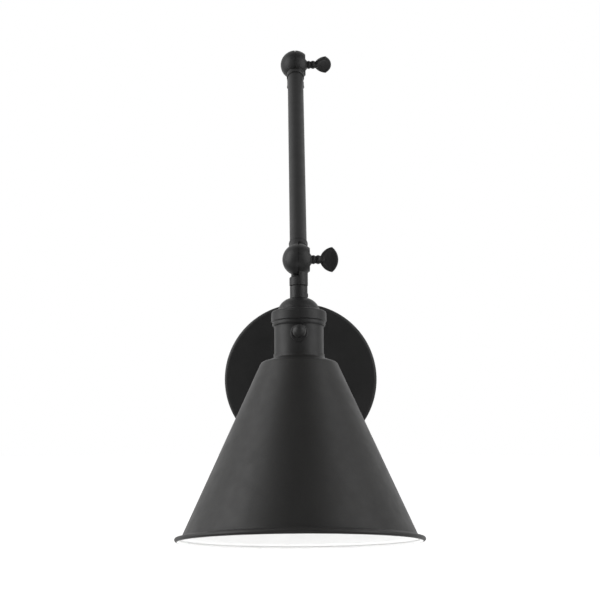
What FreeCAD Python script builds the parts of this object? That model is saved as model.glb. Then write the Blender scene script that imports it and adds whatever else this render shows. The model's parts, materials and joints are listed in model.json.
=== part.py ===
import FreeCAD, Part
import math
import os

# Swing arm wall sconce, in millimetres.
# Frame: origin on the wall at the centre of the canopy, +Y into the wall,
# +Z up, +X to the right of someone who faces the lamp.

V = FreeCAD.Vector
NO_MOVE = V(0, 0, 0)

# ---------------------------------------------------------------- driving sizes

# pose in which the lamp is stored
arm_length = 260.0           # pivot to pivot, both arms
elbow_angle = 51.0           # between the two arms
shade_lean = 9.3             # shade's axis from the vertical, mouth towards the viewer
swivel_lean = 1.0            # arms from the upright, to the left, by the base swivel
head_twist = 1.0             # head knuckle round the upper tube, which levels the shade

# fits and gaps
thread_fit = 0.02            # radial, plain shapes that stand for a thread
slip_fit = 0.05              # radial, pieces that slide together once
turning_fit = 0.06           # radial, pieces that turn on each other
stack_gap = 0.2              # axial, between turning shoulders

# canopy and what holds it
canopy_diameter = 127.0
canopy_depth = 20.0
canopy_wall = 1.2
canopy_edge = 2.5
strap_end = 5.05             # beyond a box screw's slot
strap_width = 20.0
strap_thickness = 2.0
box_screw_spacing = 88.9
box_slot_width = 4.6
box_slot_length = 9.0
stud_spacing = 70.0
stud_diameter = 4.0
stud_end_gap = 0.2
cap_nut_flats = 8.0
cap_nut_base = 3.2
cap_nut_height = 7.4
crown_flat = 0.5             # flat on top of a domed nut or rivet
ground_screw_height = 20.0
ground_head_radius = 3.6
ground_head_height = 2.4

# hub and nipple
nipple_diameter = 10.2
nipple_bore = 7.2
nipple_tail = 4.6            # thread that stands out of the nut
hub_radius = 15.0
hub_crown = 10.5
hub_height = 6.0
hub_nut_flats = 16.0
hub_nut_height = 4.0
lock_washer_thickness = 1.2
lock_washer_radius = 8.6
swivel_washer_thickness = 0.6
bushing_flange_radius = 5.0
bushing_flange = 1.5
bushing_sleeve = 3.0
bushing_wall = 0.75

# knuckles
ball_diameter = 24.0
disc_thickness = 0.6
disc_inset = 0.7             # disc edge inside the ball's edge
shoulder_gap = 0.4           # ball to the other arm's shoulder
shoulder_chamfer = 1.5
fold_margin = 6.4            # how far past the stored pose the elbow could fold
cavity_rim = 3.8             # cavity's edge inside the ball's edge
cavity_cover = 2.4           # metal between the cavity and the flat
screw_pillar = 4.4
flat_depth = 3.6             # slice taken off the screw side of the ball
boss_height = 1.2
boss_root = 4.9
boss_top = 3.3
wire_hole = 2.2
wire_hole_offset = 3.4
collar_step = 0.5            # collar's radius over the tube's
flare_step = 0.75
collar_reach = 7.3           # collar's end beyond the ball
flare_length = 2.8
lip_length = 1.3
spigot_length = 10.0
spigot_wall = 0.95
base_stem_extra = 2.1        # base stem's length over a collar's
base_stem_flare = 8.5

# arm tubes and wires
tube_diameter = 12.7
tube_wall = 1.2
wire_diameter = 2.2
wire_pitch = 2.5

# thumb screws
key_shank = 4.0
key_blind = 3.0              # metal left beyond the screw's end
key_end_gap = 0.5
washer_thickness = 0.5
washer_radius = 3.2
key_ring_radius = 3.35
key_ring = 1.7
key_groove_radius = 2.85
key_groove = 1.2
key_bead_radius = 3.4
key_bead = 3.0
key_neck = 0.6
blade_root = 3.4
blade_shoulder = (3.5, 7.5)  # from the blade's root: along, out
blade_corner = (8.3, 9.35)
blade_length = 12.9
blade_thickness = 2.6
head_blade_turn = 0.0
elbow_blade_turn = 53.0
base_blade_turn = 20.0

# lamp stem and swivel
stem_collar = 7.8            # ball to the stem's lower shoulder
stem_spigot_diameter = 9.8
stem_bore = 6.4
spigot_beyond_collar = 1.8
groove_depth = 0.8
groove_side_gap = 0.2
set_screw_diameter = 3.0
set_screw_proud = 0.35
set_screw_place = 0.76       # share of the way down the swivel collar
swivel_collar_wall = 1.65
swivel_collar_length = 9.1

# socket
cap_tail_wall = 1.04         # swivel collar's tail through the cap
locknut_rim = 1.0
locknut_height = 2.0
cap_wall = 1.2
cap_dome_inset = 2.75        # dome's foot inside the shell's radius
cap_dome_height = 8.2
cap_skirt_stand = 2.2        # skirt's radius over the shell's
cap_shoulder_round = 1.9
cap_height = 20.9
cap_bead_stand = 1.35
cap_bead_height = 3.0
shell_wall = 0.9
shell_in_cap = 8.5
shell_showing = 20.9
liner_wall = 0.5
liner_end_gap = 0.4
body_wall = 2.6
body_top_in_cap = 5.5
body_below_shell = 19.1
switch_place = 7.4           # switch axis below the cap
pocket_half_width = 8.0
pocket_half_height = 5.4
pocket_floor = 2.0           # from the socket's axis
case_wall = 1.2
case_recess = 1.6            # case's corners inside the body's skin
rotor_gap = 1.8              # rotor to each end of the case
knob_shaft_diameter = 3.2
bushing_radius = 3.4
knob_flange_radius = 6.5
knob_flange_proud = 1.3
knob_ball_radius = 4.95
knob_neck_radius = 2.5
knob_neck_length = 2.0
lamp_thread_radius = 13.25   # E26 screw shell, inside
lamp_thread_length = 20.0
screw_shell_wall = 0.45
screw_shell_room = 0.35      # radial, to the moulded body
screw_shell_inset = 2.8      # from the body's mouth
chamber_step = 1.2           # contact chamber's radius inside the lamp thread's
contact_root_gap = 0.85      # tongue's fixed end to the chamber's wall
contact_thickness = 0.5
contact_width = 6.0
contact_rise = 2.6
contact_gap = 0.4
rivet_radius = 1.6
rivet_inset = 2.55           # from the tongue's fixed end
rivet_to_knee = 2.9
terminal_radius = 3.2
terminal_height = 1.8
terminal_shank = 3.4
terminal_depth = 4.0
terminal_offset = 10.0

# shade
shade_wall = 1.0
neck_stand = 0.55            # neck's radius over the shell's
neck_height = 3.0
neck_fillet = 2.2
top_width = 9.3
top_drop = 3.2
top_round = 3.4
shade_height = 136.0         # neck to the centre of the rolled edge
lip_radius = 89.9            # to the centre of the rolled edge
lip_width = 3.8
lip_drop = 1.6
lip_round = 2.0
rolled_edge = 1.7
retaining_ring_width = 6.6
retaining_ring_height = 6.0
retaining_skirt_wall = 3.2
retaining_flange = 1.8

# -------------------------------------------------------------- derived places

ball_radius = ball_diameter / 2
half_gap = disc_thickness / 2
shoulder = ball_radius + shoulder_gap
collar_end = ball_radius + collar_reach
tube_radius = tube_diameter / 2
tube_bore = tube_radius - tube_wall
collar_radius = tube_radius + collar_step
collar_flare = tube_radius + flare_step
collar_bore = tube_bore - spigot_wall
relief_angle = (elbow_angle - fold_margin) / 2
screw_radius = key_shank / 2
screw_flat = ball_radius - flat_depth
screw_seat = screw_flat + boss_height
cavity_radius = ball_radius - cavity_rim
cavity_depth = screw_flat - cavity_cover
bore_start = shoulder + 1.1
wire_start = bore_start + 0.9

canopy_front = canopy_depth
hub_front = canopy_front + hub_height
base_collar_back = hub_front + swivel_washer_thickness
base_collar_reach = collar_end + base_stem_extra
base_reach = base_collar_back + base_collar_reach
strap_length = box_screw_spacing + box_slot_length + 2 * strap_end

base_pivot = V(0, -base_reach, 0)
elbow_pivot = base_pivot + V(0, 0, arm_length)
upper_turn = 180.0 - elbow_angle
head_turn = 180.0 - shade_lean
TO_WALL = -90.0
FROM_WALL = 90.0
UP = 0.0


def heading(turn):
    """Direction of a piece's own +Z after it is turned about X."""
    a = math.radians(turn)
    return V(0, -math.sin(a), math.cos(a))


head_pivot = elbow_pivot + heading(upper_turn) * arm_length

nipple_radius = nipple_diameter / 2
nut_back = canopy_front - canopy_wall - lock_washer_thickness - hub_nut_height
nipple_back = nut_back - nipple_tail
groove_half = set_screw_diameter / 2 + groove_side_gap
base_screw_place = base_collar_back + groove_half + 1.2
nipple_front = base_screw_place + groove_half + 1.6

stem_end = ball_radius + stem_collar
stem_radius = stem_spigot_diameter / 2
swivel_collar_radius = stem_radius + swivel_collar_wall
cap_tail_radius = stem_radius + turning_fit + cap_tail_wall
locknut_flats = 2 * (cap_tail_radius + locknut_rim)
swivel_top = stem_end + stack_gap
cap_top = swivel_top + swivel_collar_length
set_screw_station = swivel_top + set_screw_place * swivel_collar_length
spigot_end = cap_top + spigot_beyond_collar
cap_bottom = cap_top + cap_height
shell_top = cap_bottom - shell_in_cap
shell_bottom = cap_bottom + shell_showing
body_bore = lamp_thread_radius + screw_shell_wall + screw_shell_room
body_radius = body_bore + body_wall
liner_radius = body_radius + slip_fit + liner_wall
shell_bore = liner_radius + slip_fit
shell_radius = shell_bore + shell_wall
cap_dome_radius = shell_radius - cap_dome_inset
cap_skirt_radius = shell_radius + cap_skirt_stand
cap_bead_radius = shell_radius + cap_bead_stand
neck_radius = shell_radius + neck_stand
top_radius = neck_radius + top_width
case_length = math.sqrt(body_radius ** 2 - pocket_half_width ** 2) - pocket_floor - case_recess
rotor_length = case_length - 2 * (case_wall + rotor_gap)
body_top = cap_bottom - body_top_in_cap
body_bottom = shell_bottom + body_below_shell
switch_station = cap_bottom + switch_place
screw_shell_bottom = body_bottom - screw_shell_inset
screw_shell_top = screw_shell_bottom - lamp_thread_length
contact_top = screw_shell_top - contact_gap
body_floor = contact_top - contact_rise - contact_thickness
contact_chamber = lamp_thread_radius - chamber_step
contact_root = contact_root_gap - contact_chamber
rivet_place = contact_root + rivet_inset
neck_top = shell_bottom + slip_fit

# ------------------------------------------------------------------ shape tools


def turned(path):
    """Solid of revolution about Z.

    The path holds (radius, height) points. A pair of points in a list is an
    arc: through the first, to the second.
    """
    edges = []
    here = path[0]
    for step in path[1:] + [path[0]]:
        a = V(here[0], 0, here[1])
        if isinstance(step, list):
            through, here = step
            mid = V(through[0], 0, through[1])
            edges.append(Part.Arc(a, mid, V(here[0], 0, here[1])).toShape())
        elif math.dist(here, step) > 1e-6:
            here = step
            edges.append(Part.LineSegment(a, V(here[0], 0, here[1])).toShape())
    face = Part.Face(Part.Wire(edges))
    return face.revolve(NO_MOVE, V(0, 0, 1), 360)


def rounded(corners):
    """Path for turned() through (radius, height, rounding) corners."""
    path = [corners[0][:2]]
    for before, corner, after in zip(corners, corners[1:], corners[2:]):
        if corner[2] == 0:
            path.append(corner[:2])
            continue
        here = V(corner[0], corner[1], 0)
        back = (V(before[0], before[1], 0) - here).normalize()
        ahead = (V(after[0], after[1], 0) - here).normalize()
        half = back.getAngle(ahead) / 2
        run = corner[2] / math.tan(half)
        inward = (back + ahead).normalize()
        deep = corner[2] / math.sin(half) - corner[2]
        start = here + back * run
        mid = here + inward * deep
        end = here + ahead * run
        path.append((start.x, start.y))
        path.append([(mid.x, mid.y), (end.x, end.y)])
    path.append(corners[-1][:2])
    return path


def sheet_corners(corners, wall):
    """Outer corners, then the inner ones: the same line one wall further in.

    The line runs outwards with the metal on its right, from one end to the
    other, and a rounding grows or shrinks by the wall.
    """
    points = [V(r, h, 0) for r, h, _ in corners]
    inner = []
    for n, (r, h, rounding) in enumerate(corners):
        normals = []
        for a, b in ((n - 1, n), (n, n + 1)):
            if a >= 0 and b < len(points):
                run = (points[b] - points[a]).normalize()
                normals.append(V(-run.y, run.x, 0))
        if len(normals) == 1:
            shift = normals[0] * wall
            grown = 0
        else:
            total = normals[0] + normals[1]
            shift = total * (wall / (1 + normals[0].dot(normals[1])))
            bend = normals[0].cross(normals[1]).z
            grown = rounding + (wall if bend < 0 else -wall) if rounding else 0
        inner.append((r + shift.x, h + shift.y, grown))
    return list(corners) + inner[::-1]


def cylinder(radius, low, high):
    return Part.makeCylinder(radius, high - low, V(0, 0, low))


def ring(outer, inner, low, high):
    return cylinder(outer, low, high).cut(cylinder(inner, low, high))


def block(x, y, z):
    """Box from three (low, high) pairs."""
    sizes = [high - low for low, high in (x, y, z)]
    return Part.makeBox(*sizes, V(x[0], y[0], z[0]))


def hexagon(flats, low, high):
    radius = flats / math.sqrt(3)
    points = []
    for n in range(7):
        a = math.radians(60 * n)
        points.append(V(radius * math.cos(a), radius * math.sin(a), low))
    return Part.Face(Part.makePolygon(points)).extrude(V(0, 0, high - low))


def slot(width, length, low, high):
    """Slot through Z that runs along Y."""
    reach = (length - width) / 2
    middle = block((-width / 2, width / 2), (-reach, reach), (low, high))
    ends = [cylinder(width / 2, low, high) for _ in range(2)]
    for end, y in zip(ends, (-reach, reach)):
        end.translate(V(0, y, 0))
    return middle.fuse(ends)


def moved(shape, x=0.0, y=0.0, z=0.0):
    copy = shape.copy()
    copy.translate(V(x, y, z))
    return copy


def along_x(shape):
    """Its own +Z becomes +X."""
    copy = shape.copy()
    copy.rotate(NO_MOVE, V(0, 1, 0), 90)
    return copy


def along_y(shape):
    """Its own +Z becomes +Y."""
    copy = shape.copy()
    copy.rotate(NO_MOVE, V(1, 0, 0), -90)
    return copy


def aimed(shape, pivot, turn):
    """Turns a piece about X, then puts its own origin at the pivot."""
    copy = shape.copy()
    copy.rotate(NO_MOVE, V(1, 0, 0), turn)
    copy.translate(pivot)
    return copy


def bent_rod(points, radius, bend):
    """Round rod along straight runs joined by tangent arcs."""
    edges = []
    start = points[0]
    for before, corner, after in zip(points, points[1:], points[2:]):
        back = (before - corner).normalize()
        ahead = (after - corner).normalize()
        half = back.getAngle(ahead) / 2
        run = bend / math.tan(half)
        inward = (back + ahead).normalize()
        first = corner + back * run
        mid = corner + inward * (bend / math.sin(half) - bend)
        last = corner + ahead * run
        edges.append(Part.LineSegment(start, first).toShape())
        edges.append(Part.Arc(first, mid, last).toShape())
        start = last
    edges.append(Part.LineSegment(start, points[-1]).toShape())
    run = (points[1] - points[0]).normalize()
    disc = Part.Wire(Part.makeCircle(radius, points[0], run))
    return Part.Wire(edges).makePipeShell([disc], True, True)


# --------------------------------------------------------------------- knuckles


def half_space(side, low, high):
    """Everything on one side of the split between two half balls."""
    far = ball_diameter * 2
    if side > 0:
        x = (half_gap, far)
    else:
        x = (-far, -half_gap)
    return block(x, (-far, far), (low, high))


def across_split(side, low, high):
    """Everything beyond the split, seen from one side, and the split itself."""
    far = ball_diameter * 2
    if side > 0:
        x = (-far, half_gap)
    else:
        x = (-half_gap, far)
    return block(x, (-far, far), (low, high))


def relief_wedge(high):
    """What a collar may fill without meeting the other arm's collar."""
    reach = high * math.tan(math.radians(relief_angle))
    points = [V(0, 0, 0), V(0, reach, high), V(0, -reach, high), V(0, 0, 0)]
    far = ball_diameter
    wedge = Part.Face(Part.makePolygon(points)).extrude(V(2 * far, 0, 0))
    return moved(wedge, x=-far)


def half_ball(side):
    ball = Part.makeSphere(ball_radius)
    half = ball.common(half_space(side, -ball_diameter, ball_diameter))
    if side > 0:
        far = ball_diameter
        half = half.common(block((0, screw_flat), (-far, far), (-far, far)))
        boss = Part.makeCone(boss_root, boss_top, boss_height)
        half = half.fuse(along_x(moved(boss, z=screw_flat)))
    return half


def knuckle(side, outline, reach, way, relieved=True):
    """Half ball on a stem that runs along +Z.

    side is +1 for the half that the screw passes through and -1 for the half
    that it threads into. outline is the stem's turned shape, and way the
    radius of the bore inside it.
    """
    own = outline.common(half_space(side, 0, reach))
    other = outline.common(across_split(side, shoulder, reach))
    edge = collar_radius - shoulder_chamfer
    cone_length = reach - shoulder
    cone = Part.makeCone(edge, edge + cone_length, cone_length, V(0, 0, shoulder))
    stem = own.fuse(other.common(cone))
    if relieved:
        stem = stem.common(relief_wedge(reach))
    piece = half_ball(side).fuse(stem)
    piece = piece.cut(cylinder(way, bore_start, reach))
    cavity = ring(cavity_radius, screw_pillar, 0, cavity_depth)
    hole = moved(cylinder(wire_hole, cavity_depth, bore_start + 0.5), x=side * wire_hole_offset)
    if side > 0:
        thread = cylinder(screw_radius + turning_fit, 0, screw_seat)
        cuts = [along_x(cavity), along_x(thread), hole]
    else:
        thread = cylinder(screw_radius + turning_fit, key_blind - ball_radius, 0)
        cuts = [along_x(moved(cavity, z=-cavity_depth)), along_x(thread), hole]
    return piece.cut(cuts).removeSplitter()


def arm_knuckle(side, relieved=True):
    """Knuckle with a collar and a spigot that fills the arm's tube."""
    flare_start = collar_end - flare_length
    lip_start = collar_end - lip_length
    spigot_radius = tube_bore - thread_fit
    reach = collar_end + spigot_length
    outline = turned([
        (0, screw_pillar),
        (collar_radius, screw_pillar),
        (collar_radius, flare_start),
        (collar_flare, lip_start),
        (collar_flare, collar_end - 0.4),
        (collar_flare - 0.4, collar_end),
        (spigot_radius, collar_end),
        (spigot_radius, reach - 0.5),
        (spigot_radius - 0.5, reach),
        (0, reach),
    ])
    return knuckle(side, outline, reach, collar_bore, relieved)


def at_far_end(shape):
    """Turns a piece for the near end of an arm into one for its far end."""
    copy = shape.copy()
    copy.rotate(NO_MOVE, V(1, 0, 0), 180)
    copy.translate(V(0, 0, arm_length))
    return copy


def friction_disc():
    outer = ball_radius - disc_inset
    return along_x(ring(outer, cavity_radius + 0.2, -half_gap, half_gap))


def key_washer():
    low = screw_seat
    return along_x(ring(washer_radius, screw_radius + 0.2, low, low + washer_thickness))


def thumb_screw(turn):
    """Screw along X, with rings, a bead and a fan-shaped blade."""
    seat = screw_seat + washer_thickness
    groove = seat + key_ring
    bead = groove + key_groove
    neck = bead + key_bead
    blade = neck + key_neck
    tip = key_blind + key_end_gap - ball_radius
    body = turned([
        (0, tip),
        (screw_radius - 0.4, tip),
        (screw_radius, tip + 0.4),
        (screw_radius, seat),
        (key_ring_radius - 0.4, seat),
        [(key_ring_radius, seat + key_ring / 2), (key_ring_radius - 0.4, groove)],
        (key_groove_radius, groove + 0.3),
        (key_groove_radius, bead),
        [(key_bead_radius, bead + key_bead / 2), (key_groove_radius, neck)],
        (key_groove_radius, blade + 2.0),
        (0, blade + 4.0),
    ])
    shoulder_at = blade + blade_shoulder[0]
    corner_at = blade + blade_corner[0]
    end = V(blade + blade_length, 0, 0)

    def flank(sign):
        return [
            V(blade - 0.6, 0, sign * (blade_root - 0.7)),
            V(blade, 0, sign * blade_root),
            V(shoulder_at, 0, sign * blade_shoulder[1]),
            V(corner_at, 0, sign * blade_corner[1]),
        ]

    top = flank(1)
    low = flank(-1)
    edges = [
        Part.LineSegment(low[0], top[0]).toShape(),
        Part.LineSegment(top[0], top[1]).toShape(),
        Part.Arc(top[1], top[2], top[3]).toShape(),
        Part.Arc(top[3], end, low[3]).toShape(),
        Part.Arc(low[3], low[2], low[1]).toShape(),
        Part.LineSegment(low[1], low[0]).toShape(),
    ]
    fan = Part.Face(Part.Wire(edges)).extrude(V(0, blade_thickness, 0))
    screw = along_x(body).fuse(moved(fan, y=-blade_thickness / 2)).removeSplitter()
    screw.rotate(NO_MOVE, V(1, 0, 0), turn)
    return screw


def wire_pair(low, high):
    radius = wire_diameter / 2
    wires = [moved(cylinder(radius, low, high), y=s * wire_pitch / 2) for s in (-1, 1)]
    return Part.makeCompound(wires)


# ------------------------------------------------------------------------- base
# Base pieces are drawn with +Z away from the wall and +Y up.


def wall_canopy():
    radius = canopy_diameter / 2
    hole = nipple_radius + slip_fit
    corners = sheet_corners(
        [
            (hole, canopy_depth, 0),
            (radius, canopy_depth, canopy_edge),
            (radius, 0, 0),
        ],
        -canopy_wall,
    )
    pan = turned(rounded(corners))
    holes = [
        moved(cylinder(stud_diameter / 2 + slip_fit, 0, canopy_depth + 1), y=y)
        for y in (-stud_spacing / 2, stud_spacing / 2)
    ]
    return pan.cut(holes)


def mounting_strap():
    bar = slot(strap_width, strap_length, 0, strap_thickness)
    over = strap_thickness + 1
    cuts = [cylinder(nipple_radius + 1.0, -1, over)]
    for sign in (-1, 1):
        cuts.append(
            moved(slot(box_slot_width, box_slot_length, -1, over), y=sign * box_screw_spacing / 2)
        )
        cuts.append(
            moved(cylinder(stud_diameter / 2 + thread_fit, -1, over), y=sign * stud_spacing / 2)
        )
    cuts.append(moved(cylinder(stud_diameter / 2 + thread_fit, -1, over), y=ground_screw_height))
    return bar.cut(cuts)


def canopy_studs():
    top = canopy_front + cap_nut_height - 2.4
    stud = cylinder(stud_diameter / 2, stud_end_gap, top)
    return Part.makeCompound([moved(stud, y=s * stud_spacing / 2) for s in (-1, 1)])


def canopy_cap_nuts():
    low = canopy_front
    flats = hexagon(cap_nut_flats, low, low + cap_nut_base)
    edge = cap_nut_flats / 2 - 0.2
    dome = turned([
        (0, low),
        (edge, low),
        (edge, low + cap_nut_base + 0.6),
        [(edge * 0.74, low + cap_nut_height - 1.2), (crown_flat, low + cap_nut_height)],
        (0, low + cap_nut_height),
    ])
    hole = cylinder(stud_diameter / 2 + thread_fit, low, low + cap_nut_height - 2.0)
    nut = flats.fuse(dome).cut(hole).removeSplitter()
    return Part.makeCompound([moved(nut, y=s * stud_spacing / 2) for s in (-1, 1)])


def ground_screw():
    shank = cylinder(stud_diameter / 2, stud_end_gap, strap_thickness)
    high = strap_thickness + ground_head_height
    head = hexagon(ground_head_radius * math.sqrt(3), strap_thickness, high)
    notch = block((-0.5, 0.5), (-5, 5), (high - 1.0, high + 1))
    return moved(shank.fuse(head.cut(notch)), y=ground_screw_height)


def hub_escutcheon():
    hole = nipple_radius + thread_fit
    low = canopy_front
    return turned([
        (hole, low),
        (hub_radius, low),
        (hub_radius, low + 1.4),
        [(hub_radius - 0.4, low + 1.9), (hub_radius - 1.0, low + 2.1)],
        [(hub_crown + 0.8, low + 3.0), (hub_crown, low + hub_height - 0.6)],
        (hub_crown - 0.6, low + hub_height),
        (hole, low + hub_height),
    ])


def hub_nipple():
    tube = ring(nipple_radius, nipple_bore / 2, nipple_back, nipple_front)
    low = base_screw_place - groove_half
    high = base_screw_place + groove_half
    return tube.cut(ring(nipple_radius + 1, nipple_radius - groove_depth, low, high))


def hub_lock_washer():
    high = canopy_front - canopy_wall
    low = high - lock_washer_thickness
    washer = ring(lock_washer_radius, nipple_radius + slip_fit, low, high)
    teeth = []
    for n in range(10):
        tooth = block((lock_washer_radius - 1.2, lock_washer_radius + 1), (-0.5, 0.5), (low - 1, high + 1))
        tooth.rotate(NO_MOVE, V(0, 0, 1), 36 * n)
        teeth.append(tooth)
    return washer.cut(teeth)


def hub_nut():
    low = nut_back
    high = low + hub_nut_height
    nut = hexagon(hub_nut_flats, low, high)
    round_off = turned([
        (0, low),
        (hub_nut_flats / 2 + 0.4, low),
        (hub_nut_flats / 2 + 1.4, low + 0.7),
        (hub_nut_flats / 2 + 1.4, high - 0.7),
        (hub_nut_flats / 2 + 0.4, high),
        (0, high),
    ])
    return nut.common(round_off).cut(cylinder(nipple_radius + thread_fit, low, high))


def nipple_bushing():
    sleeve = nipple_bore / 2 - slip_fit
    hole = sleeve - bushing_wall
    return turned([
        (hole, nipple_back - bushing_flange),
        (bushing_flange_radius - 0.5, nipple_back - bushing_flange),
        (bushing_flange_radius, nipple_back - bushing_flange + 0.5),
        (bushing_flange_radius, nipple_back),
        (sleeve, nipple_back),
        (sleeve, nipple_back + bushing_sleeve),
        (hole, nipple_back + bushing_sleeve),
    ])


def base_knuckle():
    """Threaded half of the base knuckle, on a stem that turns on the nipple."""
    outline = turned([
        (0, screw_pillar),
        (collar_radius, screw_pillar),
        (collar_radius, collar_end - 1.5),
        (base_stem_flare, base_collar_reach - 2.2),
        (base_stem_flare, base_collar_reach - 0.4),
        (base_stem_flare - 0.4, base_collar_reach),
        (0, base_collar_reach),
    ])
    piece = knuckle(-1, outline, base_collar_reach, nipple_bore / 2, False)
    pocket_start = base_reach - nipple_front - stack_gap
    piece = piece.cut(
        cylinder(nipple_radius + turning_fit, pocket_start, base_collar_reach + 1)
    )
    station = base_reach - base_screw_place
    hole = along_y(cylinder(set_screw_diameter / 2 + thread_fit, 0, hub_radius))
    return piece.cut(moved(hole, z=station))


def set_screw(spigot_radius, collar, proud):
    """Set screw along +Y whose tip runs in a groove of the spigot."""
    radius = set_screw_diameter / 2
    tip = spigot_radius - groove_depth + 0.15
    head = collar + proud
    screw = turned([
        (0, tip),
        (radius - 0.3, tip),
        (radius, tip + 0.3),
        (radius, head - 0.2),
        (radius - 0.2, head),
        (0, head),
    ])
    socket = hexagon(radius, head - 1.0, head + 1)
    return along_y(screw.cut(socket))


def base_swivel_screw():
    """Comes in from below the base knuckle's stem."""
    screw = set_screw(nipple_radius, base_stem_flare, -0.3)
    screw.rotate(NO_MOVE, V(0, 0, 1), 180)
    return moved(screw, z=base_screw_place)


# ----------------------------------------------------------------- lamp head
# Head pieces are drawn from the head pivot, +Z down the shade's axis and +Y
# towards the viewer.


def lamp_stem():
    outline = turned([
        (0, screw_pillar),
        (collar_radius, screw_pillar),
        (collar_radius, stem_end - 0.3),
        (collar_radius - 0.3, stem_end),
        (stem_radius, stem_end),
        (stem_radius, spigot_end - 0.4),
        (stem_radius - 0.4, spigot_end),
        (0, spigot_end),
    ])
    piece = knuckle(1, outline, spigot_end, stem_bore / 2, False)
    low = set_screw_station - groove_half
    high = set_screw_station + groove_half
    return piece.cut(ring(stem_radius + 1, stem_radius - groove_depth, low, high))


def swivel_collar():
    bore = stem_radius + turning_fit
    tail_end = cap_top + cap_wall + locknut_height + 0.6
    collar = turned([
        (bore, swivel_top),
        (swivel_collar_radius - 0.3, swivel_top),
        (swivel_collar_radius, swivel_top + 0.3),
        (swivel_collar_radius, cap_top),
        (cap_tail_radius, cap_top),
        (cap_tail_radius, tail_end - 0.3),
        (cap_tail_radius - 0.3, tail_end),
        (bore, tail_end),
    ])
    hole = along_x(cylinder(set_screw_diameter / 2 + thread_fit, 0, hub_radius))
    return collar.cut(moved(hole, z=set_screw_station))


def swivel_set_screw():
    screw = set_screw(stem_radius, swivel_collar_radius, set_screw_proud)
    screw.rotate(NO_MOVE, V(0, 0, 1), -90)
    return moved(screw, z=set_screw_station)


def cap_locknut():
    low = cap_top + cap_wall
    high = low + locknut_height
    nut = hexagon(locknut_flats, low, high)
    return nut.cut(cylinder(cap_tail_radius + thread_fit, low, high))


def socket_cap():
    """Dome, shoulder, skirt and bead."""
    hole = cap_tail_radius + slip_fit
    inner = shell_radius + slip_fit
    dome_foot = cap_top + cap_dome_height
    shoulder_low = dome_foot + 1.5
    skirt_low = cap_bottom - cap_bead_height
    bead = cap_bead_radius
    seat = locknut_flats / math.sqrt(3) + 0.3
    inside_foot = dome_foot + cap_wall * 0.4
    return turned([
        (hole, cap_top),
        (swivel_collar_radius + 0.1, cap_top),
        [(cap_dome_radius * 0.78, cap_top + cap_dome_height * 0.36), (cap_dome_radius, dome_foot)],
        (cap_dome_radius + 0.5, dome_foot + 0.5),
        (cap_skirt_radius - cap_shoulder_round, shoulder_low),
        [
            (cap_skirt_radius - 0.5, shoulder_low + 0.65),
            (cap_skirt_radius, shoulder_low + cap_shoulder_round),
        ],
        (cap_skirt_radius, skirt_low - 0.5),
        (bead - 0.1, skirt_low),
        (bead - 0.1, skirt_low + 0.4),
        [(bead + 0.1, skirt_low + cap_bead_height / 2), (bead - 0.3, cap_bottom)],
        (inner, cap_bottom),
        (inner, shoulder_low + cap_wall),
        (cap_dome_radius - cap_wall * 0.7, inside_foot + cap_wall),
        [
            (cap_dome_radius * 0.78 - 0.85, cap_top + cap_dome_height * 0.36 + 0.85),
            (seat, cap_top + cap_wall),
        ],
        (hole, cap_top + cap_wall),
    ])


def knob_way(radius, low, high):
    """Cylinder along the switch knob's axis."""
    return moved(along_y(cylinder(radius, low, high)), z=switch_station)


def socket_shell():
    shell = ring(shell_radius, shell_bore, shell_top, shell_bottom)
    return shell.cut(knob_way(bushing_radius + slip_fit, 0, shell_radius + 5))


def insulating_liner():
    low = shell_top + liner_end_gap
    high = shell_bottom - liner_end_gap
    liner = ring(liner_radius, liner_radius - liner_wall, low, high)
    return liner.cut(knob_way(bushing_radius + slip_fit, 0, shell_radius + 5))


def socket_body():
    body = turned([
        (0, body_top),
        (body_radius - 0.6, body_top),
        (body_radius, body_top + 0.6),
        (body_radius, body_bottom - 0.8),
        (body_radius - 0.8, body_bottom),
        (body_bore, body_bottom),
        (body_bore, screw_shell_top),
        (contact_chamber, screw_shell_top),
        (contact_chamber, body_floor),
        (0, body_floor),
    ])
    pocket = block(
        (-pocket_half_width, pocket_half_width),
        (pocket_floor, body_radius + 1),
        (switch_station - pocket_half_height, switch_station + pocket_half_height),
    )
    cuts = [pocket]
    for sign in (-1, 1):
        screw_hole = cylinder(
            terminal_shank / 2 + thread_fit, body_top, body_top + terminal_depth + 0.3
        )
        cuts.append(moved(screw_hole, x=sign * terminal_offset, y=-3.0))
    rivet_hole = cylinder(rivet_radius + thread_fit, body_floor - 2.0, body_floor)
    cuts.append(moved(rivet_hole, x=rivet_place))
    return body.cut(cuts)


def screw_shell():
    """Turned plain: its inner radius is the lamp thread's."""
    outer = lamp_thread_radius + screw_shell_wall
    return turned([
        (lamp_thread_radius, screw_shell_top + slip_fit),
        (outer, screw_shell_top + slip_fit),
        (outer, screw_shell_bottom),
        (lamp_thread_radius, screw_shell_bottom),
    ])


def centre_contact():
    """Springy tongue under the lamp's tip."""
    knee = rivet_place + rivet_to_knee
    t = contact_thickness
    outline = [
        (contact_root, body_floor),
        (knee, body_floor),
        (2.6, contact_top - t),
        (2.6, contact_top),
        (1.0, contact_top),
        (knee - 0.3, body_floor + t),
        (contact_root, body_floor + t),
        (contact_root, body_floor),
    ]
    points = [V(x, -contact_width / 2, z) for x, z in outline]
    tongue = Part.Face(Part.makePolygon(points)).extrude(V(0, contact_width, 0))
    hole = cylinder(rivet_radius + thread_fit, body_floor - 1, body_floor + 1)
    return tongue.cut(moved(hole, x=rivet_place))


def contact_rivet():
    high = body_floor + contact_thickness
    rivet = turned([
        (0, body_floor - 1.8),
        (rivet_radius, body_floor - 1.8),
        (rivet_radius, high),
        (rivet_radius + 0.8, high),
        [(rivet_radius + 0.2, high + 0.6), (crown_flat, high + 0.8)],
        (0, high + 0.8),
    ])
    return moved(rivet, x=rivet_place)


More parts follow.
